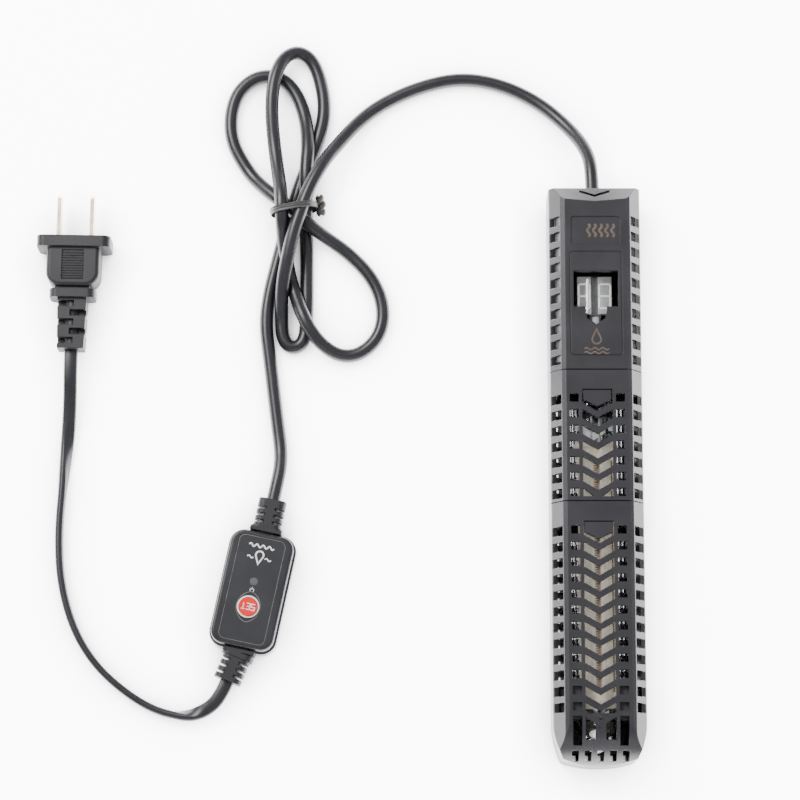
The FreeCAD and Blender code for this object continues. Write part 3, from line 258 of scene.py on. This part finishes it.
def nurbs(name, points, radius, round_steps=6, resolution=10):
    """One smooth open spline with these points as its control points."""
    curve = bpy.data.curves.new(name, "CURVE")
    curve.dimensions = "3D"
    curve.resolution_u = resolution
    curve.bevel_depth = radius
    curve.bevel_resolution = round_steps
    curve.use_fill_caps = True
    spline = curve.splines.new("NURBS")
    spline.points.add(len(points) - 1)
    for knot, point in zip(spline.points, points):
        knot.co = (*point, 1)
    spline.order_u = 3
    spline.use_endpoint_u = True
    return curve


def line_of(points, resolution=10):
    """Points along the smooth line of a route."""
    thread = linked("line_reader", nurbs("line_reader", points, 0.0, resolution=resolution))
    bpy.context.view_layer.update()
    mesh = bpy.data.meshes.new_from_object(thread)
    line = [vertex.co.copy() for vertex in mesh.vertices]
    bpy.data.objects.remove(thread)
    return line


def loft(name, sections):
    """A mesh through closed sections that all have the same number of points."""
    mesh = bmesh.new()
    rings = [[mesh.verts.new(point) for point in section] for section in sections]
    count = len(rings[0])
    for one, other in zip(rings, rings[1:]):
        for number in range(count):
            after = (number + 1) % count
            mesh.faces.new((one[number], one[after], other[after], other[number]))
    mesh.faces.new(list(reversed(rings[0])))
    mesh.faces.new(rings[-1])
    bmesh.ops.recalc_face_normals(mesh, faces=mesh.faces)
    data = bpy.data.meshes.new(name)
    mesh.to_mesh(data)
    mesh.free()
    data.shade_smooth()
    data.set_sharp_from_angle(angle=math.radians(40))
    return data


def arc(x, y, radius, start, end, steps=8):
    """Points on an arc, angles in degrees."""
    turns = [math.radians(start + (end - start) * step / steps) for step in range(steps + 1)]
    return [Vector((x + radius * math.cos(turn), y + radius * math.sin(turn))) for turn in turns]


def wave(x, y, length, tall, humps, upright=False):
    """A sine wave along X, or along Y if upright."""
    steps = 8
    points = []
    for step in range(humps * steps + 1):
        along = length * step / (humps * steps)
        across = tall * math.sin(math.pi * step / steps)
        points.append(Vector((x + across, y + along) if upright else (x + along, y + across)))
    return points


def strokes(name, lines, wide, low, high, place=Matrix(), closed=False):
    """Printed or moulded lines: each polyline becomes a flat band of this width, in mm."""
    mesh = bmesh.new()
    for line in lines:
        points = [Vector(point) for point in line]
        count = len(points)
        rails = []
        for number, point in enumerate(points):
            before = points[number - 1] if number or closed else point
            after = points[(number + 1) % count] if number < count - 1 or closed else point
            into = (point - before).normalized() if point != before else Vector((0, 0))
            out = (after - point).normalized() if point != after else Vector((0, 0))
            way = (into + out).normalized()
            side = Vector((-way.y, way.x))
            across = Vector((-into.y, into.x)) if into.length else side
            reach = 0.5 * wide / max(0.35, side.dot(across))
            rails.append([point + side * reach, point - side * reach])
        rings = [[mesh.verts.new((v.x * MM, v.y * MM, z * MM))
                  for v, z in ((a, low), (a, high), (b, high), (b, low))] for a, b in rails]
        pairs = list(zip(rings, rings[1:]))
        if closed:
            pairs.append((rings[-1], rings[0]))
        for one, other in pairs:
            for edge in range(4):
                after = (edge + 1) % 4
                mesh.faces.new((one[edge], one[after], other[after], other[edge]))
        if not closed:
            mesh.faces.new(rings[0])
            mesh.faces.new(rings[-1])
    bmesh.ops.recalc_face_normals(mesh, faces=mesh.faces)
    data = bpy.data.meshes.new(name)
    mesh.to_mesh(data)
    mesh.free()
    return linked(name, data, place)


# ---------------------------------------------------------------- camera, floor and light

def floor_material():
    """Pale paper lit from behind, a little darker where the object stands close: a painted contact
    shadow.
    """
    made = material("floor", (0.90, 0.893, 0.915), 0.8, vary=0.004, patch=6, bump=0, edge=0,
                    specular=0.1)
    tree = made.node_tree
    # painted contact shadow: ambient occlusion dims the floor's glow close to the object
    painted_contact_shadow = tree.nodes.new("ShaderNodeAmbientOcclusion")
    painted_contact_shadow.samples = 6
    painted_contact_shadow.inputs["Distance"].default_value = 0.016
    glow = tree.nodes.new("ShaderNodeMapRange")
    glow.inputs["From Min"].default_value = 0.3
    glow.inputs["From Max"].default_value = 1.0
    glow.inputs["To Min"].default_value = 0.3
    glow.inputs["To Max"].default_value = 9.0
    tree.links.new(painted_contact_shadow.outputs["AO"], glow.inputs["Value"])
    shader = tree.nodes["Principled BSDF"]
    shader.inputs["Emission Color"].default_value = (0.99, 0.985, 1.0, 1)
    tree.links.new(glow.outputs["Result"], shader.inputs["Emission Strength"])
    return made


def build_camera():
    lens = bpy.data.cameras.new("camera")
    lens.lens = 139.6
    lens.sensor_width = 36
    camera = linked("camera", lens)
    camera.location = (-0.0743, -0.1963, 1.178)
    camera.rotation_euler = (math.radians(11), 0, 0)
    bpy.context.scene.camera = camera


def area_light(name, place, towards, size, power, colour=(1, 1, 1)):
    data = bpy.data.lights.new(name, "AREA")
    data.shape = "RECTANGLE"
    data.size, data.size_y = size
    data.energy = power
    data.color = colour
    light = linked(name, data)
    light.location = place
    light.rotation_euler = (Vector(towards) - Vector(place)).to_track_quat("-Z", "Y").to_euler()


def build_studio():
    mesh = bmesh.new()
    for x, y in ((-4, -4), (4, -4), (4, 4), (-4, 4)):
        mesh.verts.new((x, y, -0.0001))
    mesh.faces.new(mesh.verts)
    data = bpy.data.meshes.new("floor")
    mesh.to_mesh(data)
    mesh.free()
    floor = linked("floor", data)
    floor.data.materials.append(floor_material())
    area_light("key", (-0.70, 0.60, 1.05), (-0.07, 0.03, 0), (0.7, 0.5), 30, (1, 0.99, 0.98))
    area_light("fill", (0.8, 0.1, 1.2), (-0.07, 0.03, 0), (1.6, 1.6), 4, (0.96, 0.97, 1))
    area_light("front", (-0.1, -1.1, 0.8), (-0.07, 0.03, 0), (1.2, 0.8), 4)
    world = bpy.data.worlds.new("world")
    world.use_nodes = True
    world.node_tree.nodes["Background"].inputs["Color"].default_value = (0.93, 0.94, 1.0, 1)
    world.node_tree.nodes["Background"].inputs["Strength"].default_value = 0.9
    bpy.context.scene.world = world


# ---------------------------------------------------------------- cords

HEATER_CORD = [
    (0, 110, 16), (0, 119, 16), (-1.5, 129, 12), (-8, 140, 5.5), (-20, 151.5, 2.7),
    (-35, 158.8, 2.7), (-50.7, 161.3, 2.7), (-66.5, 157.7, 2.7), (-81, 151, 2.7),
    (-90.5, 143.5, 3.5), (-99, 132, 8.5), (-104, 124.6, 12.5), (-109.3, 114.7, 14),
    (-113.4, 103.2, 14.2), (-116, 94.6, 13.9), (-117.9, 85.4, 12.2), (-119.5, 78.3, 9.2),
    (-120.2, 71.3, 6.3), (-120.2, 64.5, 3.3), (-119.9, 57, 2.7), (-117.4, 53, 2.7),
    (-113.4, 53, 2.7), (-110.9, 57, 2.7), (-110.6, 64.5, 2.7), (-110.4, 71, 2.7),
    (-110.5, 79.7, 2.7), (-110.6, 88.5, 2.7), (-110.9, 98.6, 2.8), (-111, 107.5, 4.8),
    (-110.8, 117.7, 8.2), (-110.8, 124.5, 8.2), (-110.2, 132.2, 7.5), (-111.1, 143.9, 3.5),
    (-114.5, 154.3, 2.7), (-119.5, 160.3, 2.7), (-125.3, 162.4, 2.7), (-131.9, 161.2, 2.7),
    (-137.7, 156, 2.7), (-140.5, 148.3, 2.7), (-140.8, 139.7, 2.7), (-139.2, 133.2, 2.7),
    (-136.5, 127.9, 2.7), (-132.1, 120.9, 3), (-126.2, 114.6, 6.2), (-120.6, 109.7, 8.6),
    (-114.7, 104.7, 8.7), (-108.2, 99.2, 8.5), (-101.6, 95.2, 4.3), (-94.4, 90.4, 2.7),
    (-86.2, 82, 2.7), (-81.6, 73, 2.7), (-80.6, 63.5, 2.7), (-83.5, 55.5, 2.7), (-90, 50, 2.7),
    (-97, 49.2, 3), (-103.3, 52.2, 5.5), (-108.3, 57.5, 8), (-111.9, 64.3, 8.3),
    (-114.4, 71.6, 5.8), (-116.9, 79.6, 3.6), (-118.4, 87.2, 6.2), (-119.4, 94, 8.3),
    (-120, 101.7, 13.4), (-120.3, 110.7, 13.9), (-121.6, 120.2, 9.5), (-123.3, 131.6, 7),
    (-124.6, 145.1, 8), (-124.1, 156.5, 8.6), (-122, 164.6, 7.8), (-118.8, 169.6, 6),
    (-114.2, 171.6, 4.3), (-109.6, 169.4, 3.1), (-106.3, 163, 2.7), (-103.9, 152, 2.7),
    (-104.5, 142.3, 2.7),
    (-107.7, 132, 2.7), (-111.8, 122.1, 2.7), (-114.2, 115, 2.8), (-116.7, 106.8, 3.3),
    (-119.3, 97.3, 2.9), (-122, 86.9, 2.7), (-125.2, 73.7, 2.7), (-126.5, 61.8, 2.7),
    (-124.6, 47.9, 2.7), (-121.7, 24.3, 2.7), (-120, 12, 3.2), (-120.2, 5, 5.2),
    (-121.5, -1.6, 6), (-122.82, -7.79, 6)]
MAINS_CORD = [
    (-139.7, -76.75, 6), (-142.4, -83.2, 6), (-148, -88, 4.4), (-156, -90.2, 3), (-167, -87.8, 2.7),
    (-179, -80.5, 2.7), (-190.5, -70, 2.7), (-199, -56, 2.7), (-204, -38, 2.7), (-205, -19, 2.7),
    (-203.6, 0, 2.7), (-202, 18, 2.7), (-201.3, 31, 5.5), (-201.2, 42.5, 8), (-201.06, 50.7, 8)]
MAINS_TWIST = (0.10, 0.24, 0.70, 0.86)


def build_heater_cord():
    """The round cord from the heater, through its tied hank, to the controller's boot."""
    cord = linked("heater_cord", nurbs("heater_cord", millimetres(HEATER_CORD), CORD_D / 2))
    keep(cord, "cord")
    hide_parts("cord_heater", "cord_hank", "cord_controller")
    return cord


def share(value, start, end):
    """0 before start, 1 after end, and a smooth rise between."""
    part = min(1.0, max(0.0, (value - start) / (end - start)))
    return part * part * (3 - 2 * part)


def flat_section(at, along, upright):
    """A flat cord's section: two round cores side by side under one skin, stood on edge or laid."""
    level = Vector((-along.y, along.x, 0)).normalized()
    up = along.cross(level).normalized()
    if up.z < 0:
        up.negate()
    turn = math.radians(90) * upright
    wide_way = level * math.cos(turn) + up * math.sin(turn)
    thin_way = level * -math.sin(turn) + up * math.cos(turn)
    core = MAINS_THICK / 2
    reach = MAINS_WIDE / 2 - core
    ring = []
    for side in (1, -1):
        for point in arc(0, 0, core, -62, 62, 8):
            ring.append(at + wide_way * side * (reach + point.x) + thin_way * side * point.y)
        ring.append(at + thin_way * side * core * 0.80)
    return ring


def build_mains_cord():
    """The flat cord from the controller to the plug: flat at its ends, on edge between them."""
    line = line_of(millimetres(MAINS_CORD), resolution=12)
    start, turned, back, end = MAINS_TWIST
    sections = []
    for number, at in enumerate(line):
        after = line[min(number + 1, len(line) - 1)]
        before = line[max(number - 1, 0)]
        part = number / (len(line) - 1)
        upright = share(part, start, turned) * (1 - share(part, back, end))
        sections.append(flat_section(at, (after - before).normalized(), upright))
    cord = linked("mains_cord", loft("mains_cord", sections))
    keep(cord, "cord")
    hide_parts("cord_mains")
    return cord, line


# ---------------------------------------------------------------- the hank's tie

def build_tie():
    """A flat wire tie round the waist of the hank, twisted shut beside it."""
    around = millimetres([
        (-106.4, 108.0, 8.5), (-106.9, 107.7, 12.5), (-109.2, 107.1, 16.2), (-113.5, 106.3, 17.4),
        (-118.6, 105.4, 17.3), (-122.6, 104.8, 16.4), (-124.4, 104.6, 12.6), (-124.2, 105.0, 7),
        (-122.4, 105.6, 2.2), (-118, 106.3, 0.5), (-112, 107.2, 0.5), (-108.2, 107.8, 2.4),
        (-106.5, 108.0, 6.0)])
    line = line_of(around, resolution=6)
    centre = Vector((-0.1155, 0.1063, 0.0085))
    sections = []
    for number, at in enumerate(line):
        along = (line[min(number + 1, len(line) - 1)] - line[max(number - 1, 0)]).normalized()
        out = (at - centre)
        out -= along * out.dot(along)
        out.normalize()
        across = along.cross(out).normalized()
        ring = []
        for x, y in ((-1.25, -0.1), (-1.1, 0.22), (-0.45, 0.12), (0, 0.42), (0.45, 0.12),
                     (1.1, 0.22), (1.25, -0.1), (0, -0.2)):
            ring.append(at + (across * x + out * (y + 0.15)) * MM)
        sections.append(ring)
    band = linked("tie_band", loft("tie_band", sections))
    keep(band, "tie")
    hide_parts("cord_tie")

    tails = []
    start, end = Vector((-105.6, 111.6, 8.4)) * MM, Vector((-104.9, 105.0, 6.4)) * MM
    for strand in range(2):
        points = []
        for step in range(25):
            part = step / 24
            turn = math.radians(400 * part + 180 * strand)
            swell = 0.95 * math.sqrt(max(0.0, math.sin(math.pi * part))) + 0.15
            points.append(start.lerp(end, part)
                          + Vector((math.cos(turn), 0.2 * math.cos(turn), math.sin(turn)))
                          * swell * MM)
        tail = linked("tie_twist_%d" % (strand + 1),
                      nurbs("tie_twist_%d" % (strand + 1), points, 0.00115, 3, 4))
        tails.append(keep(tail, "tie" if strand else "tie_end"))
    return [band] + tails


# ---------------------------------------------------------------- inside the glass tube

def build_coils():
    """Six resistance coils, one in each groove of the ceramic core, with a faint painted glow."""
    low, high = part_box("heating_coils")
    core = middle("ceramic_core")
    groove_at = 0.0057
    pitch = 0.0009
    steps = 8
    turns = int((high.y - low.y - 0.004) / pitch)
    for number in range(6):
        turn = math.radians(60 * number)
        axis = Vector((core.x + groove_at * math.sin(turn), 0, core.z + groove_at * math.cos(turn)))
        points = []
        for step in range(turns * steps + 1):
            angle = math.tau * step / steps
            points.append(axis + Vector((0.00095 * math.cos(angle),
                                         low.y + 0.002 + pitch * step / steps,
                                         0.00095 * math.sin(angle))))
        name = "heating_coil_%d" % (number + 1)
        coil = linked(name, nurbs(name, points, 0.00030, 1, 2))
        keep(coil, "coil")
        if number == 0:
            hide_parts("heating_coils")


def segment_bar(x, y, long, wide, upright):
    """One bar of a digit, pointed at both ends."""
    half, thin = long / 2, wide / 2
    ring = [(-half, 0), (-half + thin, thin), (half - thin, thin), (half, 0),
            (half - thin, -thin), (-half + thin, -thin)]
    return [(x + b, y + a) if upright else (x + a, y + b) for a, b in ring]


def build_digits():
    """Two unlit seven-bar digits on the face of the display, with a painted glow on their pane and
    bars.
    """
    low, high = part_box("display_module")
    face = high.z
    start = high.y / MM - 3.1
    wide, bar, tall = 4.5, 0.5, 4.7
    for side, name in ((-1, "digit_tens"), (1, "digit_ones")):
        x = middle("display_module").x / MM + side * 3.75
        pane = [[Vector((x, low.y / MM + 0.2)), Vector((x, high.y / MM - 0.2))]]
        keep(strokes(name + "_pane", pane, 5.0, face / MM, face / MM + 0.1), "face")
        bars = []
        for level in range(3):
            bars.append(segment_bar(x, start - level * tall, wide - 0.75, bar, False))
        for level in range(2):
            for edge in (-1, 1):
                bars.append(segment_bar(x + edge * (wide - bar) / 2, start - (level + 0.5) * tall,
                                        tall - 0.25, bar, True))
        mesh = bmesh.new()
        for ring in bars:
            base = mesh.faces.new([mesh.verts.new((a * MM, b * MM, face + 0.0001)) for a, b in ring])
            raised = bmesh.ops.extrude_face_region(mesh, geom=[base])["geom"]
            for item in raised:
                if isinstance(item, bmesh.types.BMVert):
                    item.co.z += 0.00015
        bmesh.ops.recalc_face_normals(mesh, faces=mesh.faces)
        data = bpy.data.meshes.new(name)
        mesh.to_mesh(data)
        mesh.free()
        keep(linked(name, data), "segment")


# ---------------------------------------------------------------- prints

def build_head_print():
    """Plain heat and water signs in place of the printing on the head."""
    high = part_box("guard_head")[1]
    seat = high.z / MM - 0.45
    row = high.y / MM - 20.2
    heat = [wave(x, row, 5.0, 0.5, 3, upright=True) for x in (-2.6, -0.3, 2.0, 4.3, 6.6)]
    keep(strokes("heat_sign", heat, 0.9, seat, seat + INK), "tan_print")
    panel = high.z / MM
    y = high.y / MM - 60.2
    drop = arc(0, y, 1.7, -205, 25, 14) + [Vector((0, y + 3.9))]
    keep(strokes("water_sign", [drop], 0.6, panel, panel + INK, closed=True), "tan_print")
    water = [wave(-4.6, y - 3.6 - 1.5 * line, 9.2, 0.4, 6) for line in range(2)]
    keep(strokes("wave_sign", water, 0.5, panel, panel + INK), "tan_print")


def controller_place():
    spot = middle("controller_label")
    return Matrix.Translation((spot.x, spot.y, 0)) @ Matrix.Rotation(CONTROLLER_TURN, 4, "Z")


def rounded_outline(half_x, half_y, radius):
    ring = []
    for x, y, start in ((1, 1, 0), (-1, 1, 90), (-1, -1, 180), (1, -1, 270)):
        ring += arc(x * (half_x - radius), y * (half_y - radius), radius, start, start + 90, 6)
    return ring


def build_controller_print():
    """The label's outline, the eye shape round the button, and plain signs."""
    place = controller_place()
    top = top_of("controller_label") / MM
    low, high = top, top + INK
    edge = strokes("label_outline", [rounded_outline(8.85, 20.15, 2.35)], 0.2, low, high, place,
                   closed=True)
    keep(edge, "faint_print")
    eye = arc(-1.55, BUTTON_Y, 6.1, -75.3, 75.3, 14)[:-1] + arc(1.55, BUTTON_Y, 6.1, 104.7, 255.3,
                                                                14)[:-1]
    keep(strokes("button_outline", [eye], 0.3, low, high, place, closed=True), "faint_print")
    drop = arc(0, 13.4, 1.5, -25, 205, 12) + [Vector((0, 10.0))]
    keep(strokes("drop_sign", [drop], 0.6, low, high, place, closed=True), "print")
    sides = [wave(x, 12.2, 2.4, 0.4, 2) for x in (-4.6, 2.2)]
    keep(strokes("drop_waves", sides, 0.5, low, high, place), "print")
    water = [wave(-4.8, 16.8, 9.6, 0.55, 8)]
    keep(strokes("ripple_sign", water, 0.55, low, high, place), "print")
    power = [arc(0, -0.2, 0.75, -240, 60, 10), [Vector((0, -0.1)), Vector((0, 1.0))]]
    keep(strokes("power_sign", power, 0.2, low, high, place), "print")


def build_button_print():
    """The plain word SET in straight strokes, read from the mains end."""
    place = controller_place() @ Matrix.Translation((0, BUTTON_Y * MM, 0)) @ Matrix.Rotation(
        math.pi, 4, "Z")
    face = top_of("set_button") / MM
    wide, tall, gap = 1.35, 2.3, 0.5
    left = -1.5 * wide - gap
    letters = [
        [[(wide, tall), (0, tall), (0, tall / 2), (wide, tall / 2), (wide, 0), (0, 0)]],
        [[(wide, tall), (0, tall), (0, 0), (wide, 0)], [(0, tall / 2), (wide * 0.85, tall / 2)]],
        [[(0, tall), (wide, tall)], [(wide / 2, tall), (wide / 2, 0)]]]
    lines = []
    for number, letter in enumerate(letters):
        for line in letter:
            lines.append([Vector((left + number * (wide + gap) + x, y - tall / 2))
                          for x, y in line])
    keep(strokes("button_word", lines, 0.36, face, face + INK, place), "ring", "set_button")


def build_slot_reflection_strips():
    """A smooth grey strip behind the shallow slots along each side of the head: its light grey is a
    painted reflection on the slot floors.
    """
    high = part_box("guard_head")[1]
    start, end = high.y - 0.0110 - 0.0572, high.y - 0.0098
    lean = math.radians(34.7)
    for side, name in ((-1, "slot_reflection_left"), (1, "slot_reflection_right")):
        out = Vector((side * math.cos(lean), 0, math.sin(lean)))
        up = Vector((-side * math.sin(lean), 0, math.cos(lean)))
        slot_face = Vector((side * 0.01535, 0, high.z - 0.0039))
        floor_mid = slot_face - out * 0.0012
        sections = []
        for y in (start, end):
            ring = []
            for across, deep in ((-3.2, 0), (-3.1, 0.06), (3.1, 0.06), (3.2, 0), (3.1, -0.2),
                                 (-3.1, -0.2)):
                ring.append(floor_mid + up * across * MM + out * deep * MM + Vector((0, y, 0)))
            sections.append(ring)
        # painted reflection: a light grey strip in place of the light the slot floors reflect
        keep(linked(name, loft(name, sections)), "slot_reflection")


# ---------------------------------------------------------------- build

build_camera()
build_studio()
dress_nodes()
heater_cord = build_heater_cord()
mains_cord, mains_line = build_mains_cord()
tie = build_tie()
build_coils()
build_digits()
build_head_print()
build_slot_reflection_strips()
build_controller_print()
build_button_print()
